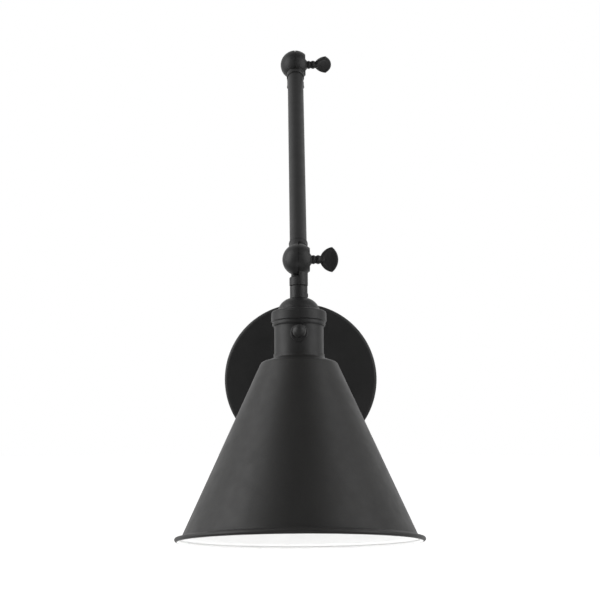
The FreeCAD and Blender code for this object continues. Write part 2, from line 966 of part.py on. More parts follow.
def terminal_screws():
    screws = []
    for sign in (-1, 1):
        high = body_top
        low = high - terminal_height
        head = cylinder(terminal_radius, low, high)
        notch = block((-0.5, 0.5), (-5, 5), (low - 1, low + 0.8))
        shank = cylinder(terminal_shank / 2, high, high + terminal_depth)
        screws.append(moved(head.cut(notch).fuse(shank), x=sign * terminal_offset, y=-3.0))
    return Part.makeCompound(screws)


def socket_wires():
    """Two wires from the stem to the terminal screws."""
    start = spigot_end + 1.4
    wires = []
    for sign in (-1, 1):
        x = sign * wire_pitch / 2
        far = sign * terminal_offset
        points = [
            V(x, 0, start),
            V(x, 0, start + 3.4),
            V(far * 0.75, -2.0, body_top - terminal_height - 3.6),
            V(far, -3.0, body_top - terminal_height - 1.2),
        ]
        wires.append(bent_rod(points, wire_diameter / 2, 2.4))
    return Part.makeCompound(wires)


def switch_case():
    gap = slip_fit
    half_width = pocket_half_width - gap
    half_height = pocket_half_height - gap
    low = pocket_floor + gap
    case = block(
        (-half_width, half_width),
        (low, low + case_length),
        (switch_station - half_height, switch_station + half_height),
    )
    rotor_space = knob_way(half_height - case_wall, low + case_wall, low + case_length - case_wall)
    shaft_way = knob_way(knob_shaft_diameter / 2 + turning_fit, low, low + case_length + 1)
    return case.cut([rotor_space, shaft_way])


def switch_bushing():
    bore = knob_shaft_diameter / 2 + turning_fit
    low = pocket_floor + case_length + 0.3
    high = shell_radius + knob_flange_proud
    sleeve = cylinder(bushing_radius, low, high - 0.3)
    flange = turned([
        (0, shell_radius - 2.5),
        (knob_flange_radius, shell_radius - 2.5),
        (knob_flange_radius, high - 0.5),
        (knob_flange_radius - 0.7, high),
        (0, high),
    ])
    saddle = cylinder(shell_radius + 0.02, shell_top, shell_bottom)
    flange = moved(along_y(flange), z=switch_station).cut(saddle)
    bushing = flange.fuse(knob_way(bushing_radius, low, high - 0.3))
    return bushing.cut(knob_way(bore, low - 1, high + 1)).removeSplitter()


def switch_knob():
    """Ball knob on a short neck and a shaft that reaches the rotor."""
    shaft = knob_shaft_diameter / 2
    low = pocket_floor + case_wall + 0.6
    neck = shell_radius + knob_flange_proud + stack_gap
    ball_low = neck + knob_neck_length
    top = ball_low + 2 * knob_ball_radius - 0.6
    centre = top - knob_ball_radius
    touch = math.sqrt(knob_ball_radius ** 2 - knob_neck_radius ** 2)
    knob = turned([
        (0, low),
        (shaft, low),
        (shaft, neck),
        (knob_neck_radius, neck),
        (knob_neck_radius, centre - touch),
        [(knob_ball_radius, centre), (0, top)],
    ])
    return moved(along_y(knob), z=switch_station)


def switch_rotor():
    low = pocket_floor + slip_fit + case_wall + 1.2
    outer = pocket_half_height - case_wall - 0.5
    rotor = cylinder(outer, low, low + rotor_length)
    for n in range(4):
        notch = block((outer - 1.0, outer + 1), (-0.8, 0.8), (low - 1, low + rotor_length + 1))
        notch.rotate(NO_MOVE, V(0, 0, 1), 90 * n)
        rotor = rotor.cut(notch)
    rotor = rotor.cut(cylinder(knob_shaft_diameter / 2 + thread_fit, low, low + rotor_length))
    return moved(along_y(rotor), z=switch_station)


def shade_line():
    """Outer corners of the shade, from its neck to the rolled edge."""
    top_corner = neck_top + neck_height
    edge_height = neck_top + shade_height
    return [
        (neck_radius, neck_top, 0),
        (neck_radius, top_corner, neck_fillet),
        (top_radius, top_corner + top_drop, top_round),
        (lip_radius - lip_width, edge_height - lip_drop - 1.0, lip_round),
        (lip_radius, edge_height - 1.0, 0),
    ]


def shade():
    skin = turned(rounded(sheet_corners(shade_line(), shade_wall)))
    edge = Part.makeTorus(lip_radius, rolled_edge, V(0, 0, neck_top + shade_height))
    return skin.fuse(edge).removeSplitter()


def shade_retaining_ring():
    """Ring on the body's thread that clamps the shade's top from below."""
    inner = body_radius + thread_fit
    outer = inner + retaining_ring_width
    skirt = inner + retaining_skirt_wall
    slope = top_drop / (top_radius - neck_radius)
    sag = shade_wall * math.sqrt(1 + slope ** 2) + slip_fit

    def underside(radius):
        return neck_top + neck_height + slope * (radius - neck_radius) + sag

    high = underside(outer)
    low = high + retaining_ring_height
    body = turned([
        (inner, high + 0.4),
        (neck_radius + neck_fillet, high + 0.4),
        (outer - 0.8, underside(outer - 0.8)),
        (outer, high + 0.3),
        (outer, high + retaining_flange),
        (skirt, high + retaining_flange + 0.6),
        (skirt, low - 0.5),
        (skirt - 0.5, low),
        (inner, low),
    ])
    grips = []
    for n in range(8):
        grip = block((skirt - 1.0, skirt + 2), (-1.2, 1.2), (high + retaining_flange + 1.0, low + 1))
        grip.rotate(NO_MOVE, V(0, 0, 1), 45 * n)
        grips.append(grip)
    return body.cut(grips)


# --------------------------------------------------------------------- assembly


def wall_pieces():
    drawn = {
        "wall_canopy": wall_canopy(),
        "mounting_strap": mounting_strap(),
        "canopy_studs": canopy_studs(),
        "canopy_cap_nuts": canopy_cap_nuts(),
        "ground_screw": ground_screw(),
        "hub_escutcheon": hub_escutcheon(),
        "hub_nipple": hub_nipple(),
        "hub_lock_washer": hub_lock_washer(),
        "hub_nut": hub_nut(),
        "nipple_bushing": nipple_bushing(),
        "base_swivel_washer": ring(
            base_stem_flare + 0.4, nipple_radius + turning_fit, hub_front, base_collar_back
        ),
    }
    return {name: aimed(shape, NO_MOVE, FROM_WALL) for name, shape in drawn.items()}


def swivel_pieces():
    return {
        "base_swivel_screw": aimed(base_swivel_screw(), NO_MOVE, FROM_WALL),
        "base_knuckle": aimed(base_knuckle(), base_pivot, TO_WALL),
    }


def arm_pieces(name, near, far, pivot, turn):
    """One arm: knuckle, tube, knuckle and the wires inside."""
    tube = ring(tube_radius, tube_bore, collar_end, arm_length - collar_end)
    drawn = {
        f"{name}_{near}_knuckle": arm_knuckle(1),
        f"{name}_tube": tube,
        f"{name}_{far}_knuckle": at_far_end(arm_knuckle(-1, relieved=far == "elbow")),
        f"{name}_wires": wire_pair(wire_start, arm_length - wire_start),
    }
    return {node: aimed(shape, pivot, turn) for node, shape in drawn.items()}


def joint_pieces(name, pivot, blade_turn):
    """What clamps one knuckle."""
    return {
        f"{name}_thumb_screw": aimed(thumb_screw(blade_turn), pivot, UP),
        f"{name}_key_washer": aimed(key_washer(), pivot, UP),
        f"{name}_friction_disc": aimed(friction_disc(), pivot, UP),
    }


def head_pieces():
    drawn = {
        "lamp_stem": lamp_stem(),
        "stem_wires": wire_pair(wire_start, spigot_end - 0.5),
        "swivel_collar": swivel_collar(),
        "swivel_set_screw": swivel_set_screw(),
        "cap_locknut": cap_locknut(),
        "socket_cap": socket_cap(),
        "socket_shell": socket_shell(),
        "insulating_liner": insulating_liner(),
        "socket_body": socket_body(),
        "screw_shell": screw_shell(),
        "centre_contact": centre_contact(),
        "contact_rivet": contact_rivet(),
        "terminal_screws": terminal_screws(),
        "socket_wires": socket_wires(),
        "switch_case": switch_case(),
        "switch_bushing": switch_bushing(),
        "switch_knob": switch_knob(),
        "switch_rotor": switch_rotor(),
        "shade": shade(),
        "shade_retaining_ring": shade_retaining_ring(),
    }
    return {name: aimed(shape, head_pivot, head_turn) for name, shape in drawn.items()}


def moving_pieces():
    """Everything that turns on the base swivel, at the stored lean."""
    pieces = swivel_pieces()
    pieces.update(arm_pieces("lower_arm", "base", "elbow", base_pivot, UP))
    pieces.update(arm_pieces("upper_arm", "elbow", "head", elbow_pivot, upper_turn))
    pieces.update(joint_pieces("base", base_pivot, base_blade_turn))
    pieces.update(joint_pieces("elbow", elbow_pivot, elbow_blade_turn))
    twisted = {"upper_arm_head_knuckle": pieces["upper_arm_head_knuckle"]}
    twisted.update(joint_pieces("head", head_pivot, head_blade_turn))
    twisted.update(head_pieces())
    for shape in twisted.values():
        shape.rotate(head_pivot, heading(upper_turn), -head_twist)
    pieces.update(twisted)
    for shape in pieces.values():
        shape.rotate(NO_MOVE, V(0, 1, 0), -swivel_lean)
    return pieces


def main():
    pieces = wall_pieces()
    pieces.update(moving_pieces())
    os.makedirs("parts", exist_ok=True)
    for name, shape in sorted(pieces.items()):
        solids = shape.Solids
        if not solids or not all(s.isValid() and s.Volume > 0 for s in solids):
            raise ValueError(f"{name} is not a whole solid")
        shape.exportStep(os.path.join("parts", name + ".step"))
        print(f"{name}: {len(solids)} solid(s), {shape.Volume:.1f} mm3")


main()
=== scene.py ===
import json
import math

import bmesh
import bpy
from mathutils import Matrix, Vector


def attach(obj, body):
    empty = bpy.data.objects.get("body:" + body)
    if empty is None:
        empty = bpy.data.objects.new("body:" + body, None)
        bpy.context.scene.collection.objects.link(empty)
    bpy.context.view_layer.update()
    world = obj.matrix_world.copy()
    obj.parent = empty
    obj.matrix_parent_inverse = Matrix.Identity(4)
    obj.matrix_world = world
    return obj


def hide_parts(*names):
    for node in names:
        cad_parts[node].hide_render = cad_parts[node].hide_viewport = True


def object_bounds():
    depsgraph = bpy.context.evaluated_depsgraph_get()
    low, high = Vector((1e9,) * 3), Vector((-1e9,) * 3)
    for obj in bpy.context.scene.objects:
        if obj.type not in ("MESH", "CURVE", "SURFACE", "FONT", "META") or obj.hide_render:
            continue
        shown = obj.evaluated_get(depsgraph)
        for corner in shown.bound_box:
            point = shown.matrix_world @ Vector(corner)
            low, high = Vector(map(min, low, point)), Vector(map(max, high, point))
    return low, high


# Looks of the swing arm wall sconce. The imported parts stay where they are. Sizes
# are in millimetres until they reach Blender.

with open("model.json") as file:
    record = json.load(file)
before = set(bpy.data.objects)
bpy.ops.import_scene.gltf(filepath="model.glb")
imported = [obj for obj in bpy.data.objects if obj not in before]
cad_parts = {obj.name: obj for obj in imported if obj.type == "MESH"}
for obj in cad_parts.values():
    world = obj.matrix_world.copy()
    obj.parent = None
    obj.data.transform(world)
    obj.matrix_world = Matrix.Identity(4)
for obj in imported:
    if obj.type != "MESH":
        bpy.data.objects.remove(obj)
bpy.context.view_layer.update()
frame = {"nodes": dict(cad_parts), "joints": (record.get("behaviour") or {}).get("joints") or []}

MM = 0.001
joints = {joint["name"]: joint for joint in frame["joints"]}

UPWARDS = Vector((0, 0, 1))
AWAY_FROM_WALL = Vector((0, -1, 0))
ALONG_WALL = Vector((1, 0, 0))

# ------------------------------------------------------------------------ sizes

round_steps = 128            # facets round a turned piece
thread_steps = 40            # facets round a small screw
shell_steps = 96             # facets round the lamp's screw shell
bend_steps = 10              # points along a bend of the shade
curl_steps = 32              # points round the curled rim
ring_bend_steps = 4          # points along a bend of a thumb screw's ring
bead_steps = 12              # steps along a thumb screw's bead
blade_side_steps = 14
blade_end_steps = 24
blade_edge_steps = 6         # steps round the blade's rim
thread_rows = 8              # rings in one turn of a small thread
shell_rows = 12              # rings in one turn of the lamp's thread
smooth_angle = math.radians(32)

# spun shade, from its neck down
shade_wall = 1.0
neck_stand = 0.55            # neck's radius over the socket shell's
neck_height = 3.0
neck_fillet = 2.2
top_width = 9.3
top_drop = 3.2
top_round = 3.4
lip_width = 3.8
lip_drop = 1.6
lip_round = 2.0
rim_neck = 1.0               # end of the lip above the curl's centre
sheet_run = 3.0              # longest step along the sheet
rolled_edge = 1.7            # radius of the curled rim
curl_end = math.radians(185)  # past the side that faces the shade's axis
curl_gap = 0.1               # open seam between the curl's end and the inside
curl_tuck = 0.35             # share of the way to its centre that the curl's end turns in

# threads: pitch, depth
lamp_thread = (3.63, 0.42)
nipple_thread = (0.94, 0.45)
stud_thread = (0.79, 0.4)
key_thread = (0.75, 0.35)
screw_shell_wall = 0.45
screw_shell_overrun = 9.0    # thread drawn past both ends, so that none fades

# thumb screws, along +X from the pivot
key_shank = 2.0
key_ring_radius = 3.35
key_ring = 1.7
key_groove_radius = 2.85
key_groove = 1.2
key_bead_radius = 3.4
key_bead = 3.0
key_neck = 0.6
key_seat_gap = 0.03          # ring to the washer that it turns on
key_waist = 0.3              # slope from the ring into the groove
key_rounding = (0.5, 0.6)    # ring's two rims
key_core = (1.6, 3.6)        # cone's start and tip inside the blade
blade_length = 12.9
blade_root = 3.4
blade_shoulder = (3.5, 7.5)
blade_corner = (8.3, 9.35)
blade_half = 1.3             # half thickness at the rim
blade_dish = 0.4             # how far the faces are hollowed
blade_edge = 1.1             # rounding of the rim
blade_back = 1.2             # blade's root inside the neck
dish_rings = (2.6, 1.5, 0.9)  # floor, slope and lip of the dish, from the rim
dish_centre = 0.82           # share of the way to the corners
corner_reach = 0.2           # how far short of the widest radius a corner still counts

tube_chamfer = 0.25
tube_run = 12.0              # longest step along a tube
nipple_run = 2.0             # step along the nipple's bore

# camera and studio
camera_distance = 2065.7
camera_height = 66.5
camera_side = -0.6
camera_lens = 147.0
camera_reach = 50.0          # metres
floor_drop = 320.0           # below the shade's rim
floor_radius = 6000.0
floor_rings = 6
floor_steps = 96
floor_glow = 0.75
light_aim = (0.0, -150.0, 80.0)
side_light_size = (1200.0, 2000.0)
left_light = (-1500.0, -450.0, 600.0)
left_power = 21              # watts
right_light = (1400.0, -750.0, 600.0)
right_power = 15
low_light = (0.0, -1700.0, -850.0)
low_light_aim = (0.0, -280.0, -80.0)
low_light_size = (1200.0, 500.0)
low_power = 4
front_level = 0.13           # brightness of the surroundings before the object
back_level = 1.0             # and behind it
level_turn = (0.18, 0.68)    # where the change from one to the other starts and ends

# ----------------------------------------------------------------------- places

def pivot(name):
    return Vector(joints[name]["pos_m"])


def place_at(origin, axis, side):
    """Matrix at origin whose +Z runs along axis and whose +X is on side."""
    z = axis.normalized()
    x = (side - z * side.dot(z)).normalized()
    y = z.cross(x)
    matrix = Matrix((x, y, z)).transposed().to_4x4()
    matrix.translation = origin
    return matrix


head_place = place_at(
    pivot("head_tilt"), Vector(joints["head_swivel"]["axis"]), -Vector(joints["head_tilt"]["axis"])
)
base_place = place_at(Vector((0, 0, 0)), AWAY_FROM_WALL, ALONG_WALL)


def seen_from(node, place):
    """A CAD node's points in a place's own axes, in millimetres."""
    back = place.inverted()
    return [back @ v.co / MM for v in frame["nodes"][node].data.vertices]


def span(node, place):
    """Lowest height, highest height and largest radius about a place's +Z."""
    points = seen_from(node, place)
    heights = [p.z for p in points]
    return min(heights), max(heights), max(math.hypot(p.x, p.y) for p in points)


def bore(node, place):
    """Smallest radius of a CAD node about a place's +Z."""
    return min(math.hypot(p.x, p.y) for p in seen_from(node, place))


# -------------------------------------------------------------------- materials


def add(tree, kind, inputs=None, **settings):
    """A shader node. An input takes a number, a colour or another node's output."""
    node = tree.nodes.new("ShaderNode" + kind)
    for key, value in settings.items():
        setattr(node, key, value)
    for key, value in (inputs or {}).items():
        if isinstance(value, bpy.types.NodeSocket):
            tree.links.new(value, node.inputs[key])
        else:
            node.inputs[key].default_value = value
    return node


def blank_material(name):
    material = bpy.data.materials.new("look_" + name)
    material.use_nodes = True
    material.node_tree.nodes.clear()
    return material, material.node_tree


def where(tree, stretch=(1, 1, 1)):
    """The piece's own coordinates, in metres."""
    coordinates = add(tree, "TexCoord").outputs["Object"]
    return add(tree, "Mapping", {"Vector": coordinates, "Scale": stretch}).outputs[0]


def speckle(tree, size, detail=2.0, stretch=(1, 1, 1)):
    """Noise from 0 to 1 whose blobs are about as large as size, in mm."""
    inputs = {"Vector": where(tree, stretch), "Scale": 1 / (size * MM), "Detail": detail}
    return add(tree, "TexNoise", inputs).outputs[0]


def fit(tree, value, low, high, start=0.3, end=0.7):
    """Value moved from the range start to end into low to high, and held inside it."""
    inputs = {"Value": value, "From Min": start, "From Max": end, "To Min": low, "To Max": high}
    return add(tree, "MapRange", inputs).outputs[0]


def times(tree, a, b):
    return add(tree, "Math", {0: a, 1: b}, operation="MULTIPLY").outputs[0]


def blend_colours(tree, share, a, b):
    """Colour a where share is 0 and colour b where it is 1."""
    node = add(tree, "Mix", {0: share, 6: a, 7: b}, data_type="RGBA")
    return node.outputs[2]


def edge_share(tree, radius, sharpest=0.80):
    """1 on outer and inner corners, 0 on open surface."""
    soft = add(tree, "Bevel", {"Radius": radius * MM}, samples=6).outputs[0]
    own = add(tree, "NewGeometry").outputs["Normal"]
    alike = add(tree, "VectorMath", {0: soft, 1: own}, operation="DOT_PRODUCT")
    return fit(tree, alike.outputs["Value"], 1.0, 0.0, sharpest, 0.995)


def relief(tree, *layers, corner=0.25):
    """Normal from height layers, each (height, depth in mm), over rounded corners."""
    normal = add(tree, "Bevel", {"Radius": corner * MM}, samples=4).outputs[0]
    for height, depth in layers:
        inputs = {"Height": height, "Distance": depth * MM, "Strength": 1.0, "Normal": normal}
        normal = add(tree, "Bump", inputs).outputs[0]
    return normal


def colour(red, green, blue):
    return (red, green, blue, 1.0)


def surface(tree, base, roughness, normal, **uniform):
    """Closes a material with a principled shader; uniform values go on its own sockets."""
    inputs = {"Base Color": base, "Roughness": roughness, "Normal": normal}
    inputs.update({key.replace("_", " "): value for key, value in uniform.items()})
    shader = add(tree, "BsdfPrincipled", inputs)
    add(tree, "OutputMaterial", {"Surface": shader.outputs[0]})


def powder_coat(name, dark, light, worn, ring_marks=0.0):
    """Satin powder coat: orange peel, faint clouding and burnished corners."""
    material, tree = blank_material(name)
    clouds = fit(tree, speckle(tree, 26, 3), 0, 1)
    flecks = fit(tree, speckle(tree, 0.9, 2), 0, 1, 0.45, 0.75)
    base = blend_colours(tree, clouds, dark, light)
    base = blend_colours(tree, times(tree, flecks, 0.18), base, worn)
    patchy = fit(tree, speckle(tree, 3.5, 4), 0.15, 0.9, 0.38, 0.66)
    rubbed = times(tree, edge_share(tree, 0.45), patchy)
    base = blend_colours(tree, rubbed, base, worn)
    gloss = fit(tree, speckle(tree, 8, 3), 0.47, 0.55)
    gloss = add(tree, "Math", {0: gloss, 1: times(tree, rubbed, 0.09)}, operation="SUBTRACT")
    layers = [(speckle(tree, 1.7, 1), 0.010), (speckle(tree, 0.45, 2), 0.004)]
    if ring_marks:
        marks = speckle(tree, 1.6, 3, (0.02, 0.02, 1))
        layers.append((marks, ring_marks))
    surface(tree, base, gloss.outputs[0], relief(tree, *layers), Specular_IOR_Level=0.5)
    return material


def enamel(name):
    """Glossy white paint inside the shade, with a trace of the spinning marks."""
    material, tree = blank_material(name)
    clouds = fit(tree, speckle(tree, 30, 3), 0, 1)
    base = blend_colours(tree, clouds, colour(0.79, 0.79, 0.785), colour(0.83, 0.83, 0.825))
    dust = times(tree, fit(tree, speckle(tree, 1.1, 3), 0, 1, 0.62, 0.8), 0.25)
    base = blend_colours(tree, dust, base, colour(0.70, 0.69, 0.67))
    gloss = fit(tree, speckle(tree, 6, 3), 0.30, 0.38)
    marks = speckle(tree, 1.8, 3, (0.02, 0.02, 1))
    normal = relief(tree, (speckle(tree, 1.9, 1), 0.012), (marks, 0.02))
    surface(tree, base, gloss, normal, Specular_IOR_Level=0.5)
    return material


def plated(name, bright, dull, rough=(0.28, 0.42), brushed=(1, 1, 1)):
    """Bare or plated metal: drawn lines, dull patches and bright corners."""
    material, tree = blank_material(name)
    patches = fit(tree, speckle(tree, 4.0, 4), 0, 1)
    base = blend_colours(tree, patches, bright, dull)
    stains = times(tree, fit(tree, speckle(tree, 1.2, 4), 0, 1, 0.55, 0.75), 0.45)
    base = blend_colours(tree, stains, base, dull)
    corners = edge_share(tree, 0.3)
    base = blend_colours(tree, times(tree, corners, 0.6), base, bright)
    lines = speckle(tree, 0.35, 2, brushed)
    gloss = fit(tree, speckle(tree, 2.5, 3), rough[0], rough[1])
    normal = relief(tree, (lines, 0.006), (speckle(tree, 2.0, 2), 0.008), corner=0.18)
    surface(tree, base, gloss, normal, Metallic=1.0)
    return material


def moulded(name, dark, light, rough=(0.38, 0.5), grain=0.6):
    """Moulded plastic or fibre with flow marks, filler specks and rubbed corners."""
    material, tree = blank_material(name)
    flow = fit(tree, speckle(tree, 7, 4, (1, 1, 0.4)), 0, 1)
    base = blend_colours(tree, flow, dark, light)
    specks = fit(tree, speckle(tree, grain, 2), 0, 1, 0.55, 0.7)
    base = blend_colours(tree, times(tree, specks, 0.5), base, light)
    corners = times(tree, edge_share(tree, 0.4), 0.4)
    base = blend_colours(tree, corners, base, light)
    gloss = fit(tree, speckle(tree, 3, 3), rough[0], rough[1])
    normal = relief(tree, (speckle(tree, grain * 1.5, 2), 0.012), (speckle(tree, 0.3, 1), 0.004))
    surface(tree, base, gloss, normal)
    return material


def insulation(name):
    """Two wires side by side: one black, one white, with a faint drawn grain."""
    material, tree = blank_material(name)
    axes = add(tree, "SeparateXYZ", {0: where(tree)})
    side = fit(tree, axes.outputs["X"], 0, 1, -0.1 * MM, 0.1 * MM)
    dirt = fit(tree, speckle(tree, 2.5, 3), 0, 1)
    black = blend_colours(tree, dirt, colour(0.015, 0.015, 0.016), colour(0.03, 0.03, 0.03))
    white = blend_colours(tree, dirt, colour(0.78, 0.77, 0.74), colour(0.66, 0.65, 0.61))
    base = blend_colours(tree, side, black, white)
    gloss = fit(tree, speckle(tree, 1.5, 2), 0.42, 0.55)
    surface(tree, base, gloss, relief(tree, (speckle(tree, 0.5, 2), 0.01)))
    return material


finishes = {
    "black_paint": powder_coat(
        "black_paint", colour(0.0100, 0.0100, 0.0102), colour(0.0130, 0.0129, 0.0128),
        colour(0.034, 0.033, 0.032)
    ),
    "shade_paint": powder_coat(
        "shade_paint", colour(0.0112, 0.0108, 0.0103), colour(0.0142, 0.0137, 0.0131),
        colour(0.036, 0.034, 0.032), ring_marks=0.012
    ),
    "shade_inside": enamel("shade_inside"),
    "zinc_steel": plated(
        "zinc_steel", colour(0.66, 0.67, 0.68), colour(0.42, 0.43, 0.44), brushed=(1, 0.1, 1)
    ),
    "brass": plated(
        "brass", colour(0.83, 0.64, 0.34), colour(0.52, 0.36, 0.16), rough=(0.22, 0.38)
    ),
    "green_paint": plated(
        "green_paint", colour(0.05, 0.36, 0.13), colour(0.02, 0.16, 0.06), rough=(0.3, 0.45)
    ),
    "moulded_resin": moulded(
        "moulded_resin", colour(0.016, 0.015, 0.014), colour(0.040, 0.037, 0.034)
    ),
    "fibre_liner": moulded(
        "fibre_liner", colour(0.30, 0.20, 0.11), colour(0.50, 0.38, 0.24), rough=(0.7, 0.85),
        grain=0.9
    ),
    "nylon": moulded("nylon", colour(0.016, 0.016, 0.016), colour(0.030, 0.030, 0.030)),
    "wire_insulation": insulation("wire_insulation"),
}


def finish_cad_nodes():
    """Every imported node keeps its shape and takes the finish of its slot."""
    for node in frame["nodes"].values():
        for place in node.material_slots:
            slot = place.material.name.split(".")[0]
            place.material = finishes[slot]


# ------------------------------------------------------------------ mesh making


def loft(rings, loop=False):
    """Points and faces through rings of equal length. A ring of one point is a tip."""
    points, starts, faces, rows = [], [], [], []
    for ring in rings:
        starts.append(len(points))
        points.extend(ring)
    pairs = [(n, n + 1) for n in range(len(rings) - 1)]
    if loop:
        pairs.append((len(rings) - 1, 0))
    for row, (a, b) in enumerate(pairs):
        count = max(len(rings[a]), len(rings[b]))
        for n in range(count):
            after = (n + 1) % count
            face = []
            for ring, corners in ((a, (n, after)), (b, (after, n))):
                if len(rings[ring]) == 1:
                    face.append(starts[ring])
                else:
                    face.extend(starts[ring] + corner for corner in corners)
            faces.append(face)
            rows.append(row)
    return points, faces, rows


def circle(radius, height, steps=round_steps, wave=None):
    """Ring of points; wave adds to the radius for an angle and a height."""
    if radius < 1e-6:
        return [Vector((0, 0, height))]
    points = []
    for n in range(steps):
        angle = 2 * math.pi * n / steps
        r = radius + (wave(angle, height) if wave else 0)
        points.append(Vector((r * math.cos(angle), r * math.sin(angle), height)))
    return points


def rounded(corners, steps=6):
    """(radius, height) points through (radius, height, rounding) corners."""
    path = [Vector(corners[0][:2])]
    for before, corner, after in zip(corners, corners[1:], corners[2:]):
        here = Vector(corner[:2])
        if corner[2] == 0:
            path.append(here)
            continue
        back = (Vector(before[:2]) - here).normalized()
        ahead = (Vector(after[:2]) - here).normalized()
        half = back.angle(ahead) / 2
        middle = here + (back + ahead).normalized() * (corner[2] / math.sin(half))
        start = here + back * (corner[2] / math.tan(half)) - middle
        turn = math.pi - 2 * half
        if start.cross(here - middle) < 0:
            turn = -turn
        for n in range(steps + 1):
            path.append(middle + Matrix.Rotation(turn * n / steps, 2) @ start)
    path.append(Vector(corners[-1][:2]))
    return path


def finer(path, longest):
    """The same path with long runs divided."""
    points = [path[0]]
    for a, b in zip(path, path[1:]):
        count = max(1, math.ceil((b - a).length / longest))
        points.extend(a.lerp(b, n / count) for n in range(1, count + 1))
    return points


def screw_wave(pitch, depth, low, high):
    """Helical thread cut into a radius, fading out at both ends."""
    def wave(angle, height):
        phase = (height / pitch - angle / (2 * math.pi)) % 1
        groove = 1 - abs(2 * phase - 1)
        fade = min(1.0, (height - low) / pitch, (high - height) / pitch)
        return -depth * (groove if fade >= 1 else 1 - (1 - groove) * max(0.0, fade))
    return wave


def levels(low, high, step):
    count = max(1, round((high - low) / step))
    return [low + (high - low) * n / count for n in range(count + 1)]


def threaded_rings(radius, thread, low, high, steps=thread_steps):
    pitch, depth = thread
    wave = screw_wave(pitch, depth, low, high)
    return [circle(radius, z, steps, wave) for z in levels(low, high, pitch / thread_rows)]


def make_mesh(name, points, faces):
    mesh = bpy.data.meshes.new(name)
    mesh.from_pydata([p * MM for p in points], [], faces)
    shape = bmesh.new()
    shape.from_mesh(mesh)
    bmesh.ops.recalc_face_normals(shape, faces=shape.faces)
    shape.to_mesh(mesh)
    shape.free()
    mesh.shade_smooth()
    mesh.set_sharp_from_angle(angle=smooth_angle)
    return mesh


def make_object(name, points, faces, place):
    made = bpy.data.objects.new(name, make_mesh(name, points, faces))
    bpy.context.scene.collection.objects.link(made)
    made.matrix_world = place
    return made


def settle(piece, body, slot, node, materials=None):
    """Paints a piece, fastens it to its body and lets it stand for its CAD node."""
    piece.data.materials.clear()
    for material in materials or [finishes[slot]]:
        piece.data.materials.append(material)
    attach(piece, body)
    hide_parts(node)


def joined(piece, other):
    """Piece united with other into one closed skin."""
    modifier = piece.modifiers.new("union", "BOOLEAN")
    modifier.operation = "UNION"
    modifier.solver = "EXACT"
    modifier.object = other
    bpy.context.view_layer.update()
    seen = piece.evaluated_get(bpy.context.evaluated_depsgraph_get())
    mesh = bpy.data.meshes.new_from_object(seen)
    piece.modifiers.clear()
    piece.data = mesh
    piece.data.shade_smooth()
    piece.data.set_sharp_from_angle(angle=smooth_angle)
    bpy.data.objects.remove(other)


# ------------------------------------------------------------------------ shade


def shade_corners(top, rim):
    """Outer line of the shade from its neck to the top of the curled rim."""
    shell_radius = span("socket_shell", head_place)[2]
    neck_radius = shell_radius + neck_stand
    lip_radius = span("shade", head_place)[2] - rolled_edge
    top_radius = neck_radius + top_width
    return [
        (neck_radius, top, 0),
        (neck_radius, top + neck_height, neck_fillet),
        (top_radius, top + neck_height + top_drop, top_round),
        (lip_radius - lip_width, rim - lip_drop - rim_neck, lip_round),
        (lip_radius, rim - rim_neck, 0),
    ]


def one_wall_in(corners, wall):
    """The same line one wall further in, with its roundings to suit."""
    points = [Vector(c[:2]) for c in corners]
    inner = []
    for n, point in enumerate(points):
        normals = []
        for a, b in ((n - 1, n), (n, n + 1)):
            if a >= 0 and b < len(points):
                run = (points[b] - points[a]).normalized()
                normals.append(Vector((-run.y, run.x)))
        if len(normals) == 1:
            moved = point + normals[0] * wall
            rounding = 0
        else:
            total = normals[0] + normals[1]
            moved = point + total * (wall / (1 + normals[0].dot(normals[1])))
            grows = normals[0].cross(normals[1]) < 0
            rounding = corners[n][2] + (wall if grows else -wall)
        inner.append((moved.x, moved.y, rounding))
    return inner


def spun_shade():
    """Sheet spun in one piece, black outside and white inside, with a curled rim."""
    low, high, _ = span("shade", head_place)
    rim = high - rolled_edge
    corners = shade_corners(low, rim)
    centre = Vector((corners[-1][0], rim))

    def beyond_curl(path, reach):
        points = finer(path, sheet_run)
        return [p for p in points if (p - centre).length > reach]

    outside = beyond_curl(rounded(corners, bend_steps), rolled_edge)
    inner_corners = one_wall_in(corners, shade_wall)
    inside = beyond_curl(rounded(inner_corners, bend_steps)[::-1], rolled_edge + curl_gap)
    start = outside[-1] - centre
    first = math.atan2(start.y, start.x)
    turn = (curl_end - first) / curl_steps
    angles = [first + turn * n for n in range(1, curl_steps + 1)]
    curl = [centre + Vector((math.cos(a), math.sin(a))) * rolled_edge for a in angles]
    seam = centre + (inside[0] - centre).normalized() * (rolled_edge - 2 * curl_gap)
    path = outside + curl + [curl[-1].lerp(centre, curl_tuck), seam] + inside
    points, faces, rows = loft([circle(p.x, p.y, 2 * round_steps) for p in path], loop=True)
    shade = make_object("shade_spun", points, faces, head_place)
    settle(
        shade, "lamp_head", "shade_paint", "shade",
        [finishes["shade_paint"], finishes["shade_inside"]]
    )
    black_rows = len(outside) + sum(1 for angle in angles if angle < math.pi / 2)
    for face, row in zip(shade.data.polygons, rows):
        face.material_index = 0 if row < black_rows or row == len(path) - 1 else 1


# -------------------------------------------------------------------- lamp head


def lamp_screw_shell():
    """Rolled brass thread for the lamp's base."""
    low, high, outer = span("screw_shell", head_place)
    pitch, depth = lamp_thread
    wave = screw_wave(pitch, depth, low - screw_shell_overrun, high + screw_shell_overrun)
    rows = levels(low, high, pitch / shell_rows)

    def skin(radius, heights):
        return [circle(radius + depth / 2, z, shell_steps, wave) for z in heights]

    rings = skin(outer, rows) + skin(outer - screw_shell_wall, rows[::-1])
    points, faces, _ = loft(rings, loop=True)
    shell = make_object("screw_shell_rolled", points, faces, head_place)
    settle(shell, "lamp_head", "brass", "screw_shell")


